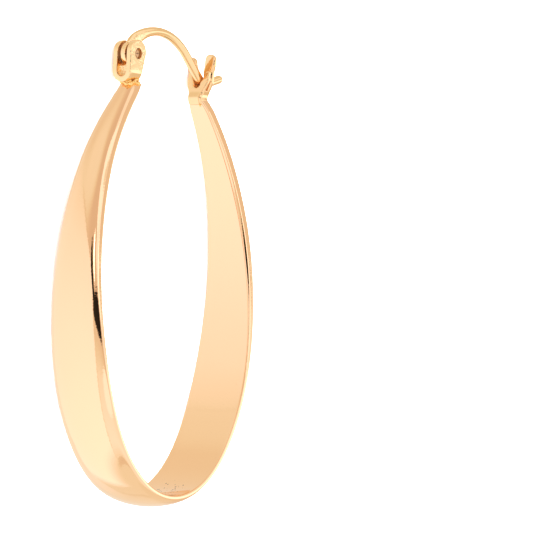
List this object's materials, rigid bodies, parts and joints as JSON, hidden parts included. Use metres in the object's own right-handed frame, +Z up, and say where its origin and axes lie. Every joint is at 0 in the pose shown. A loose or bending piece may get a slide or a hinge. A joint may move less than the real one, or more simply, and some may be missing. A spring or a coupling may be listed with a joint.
{
  "type": "oval hoop earring",
  "caption": "Polished gold-plated oval hoop earring, flat inside and domed outside, with a riveted ear wire that drops into a notched catch.",
  "frame": {"origin": "centre of the earring's box at floor level, as the hoop lies on its side", "axes": "+X from the hinge to the catch, +Y along the long axis from the bottom of the oval to the ear wire, +Z up off the floor"},
  "size_m": [0.0278, 0.0494, 0.0077],
  "materials": {
    "hoop_gold": "mirror-polished gold plate",
    "wire_gold": "drawn wire, polished and gold-plated"
  },
  "bodies": {
    "hoop": {"hoop": "hoop_gold", "rivet": "hoop_gold"},
    "ear_wire": {"ear_wire": "wire_gold"}
  },
  "joints": [
    {"name": "ear_wire_hinge", "type": "hinge", "parent": "hoop", "child": "ear_wire", "pos_m": [-0.0054, 0.02162, 0.00165], "axis": [0, 0.0553, 0.9985], "range_deg": [0, 150]}
  ]
}
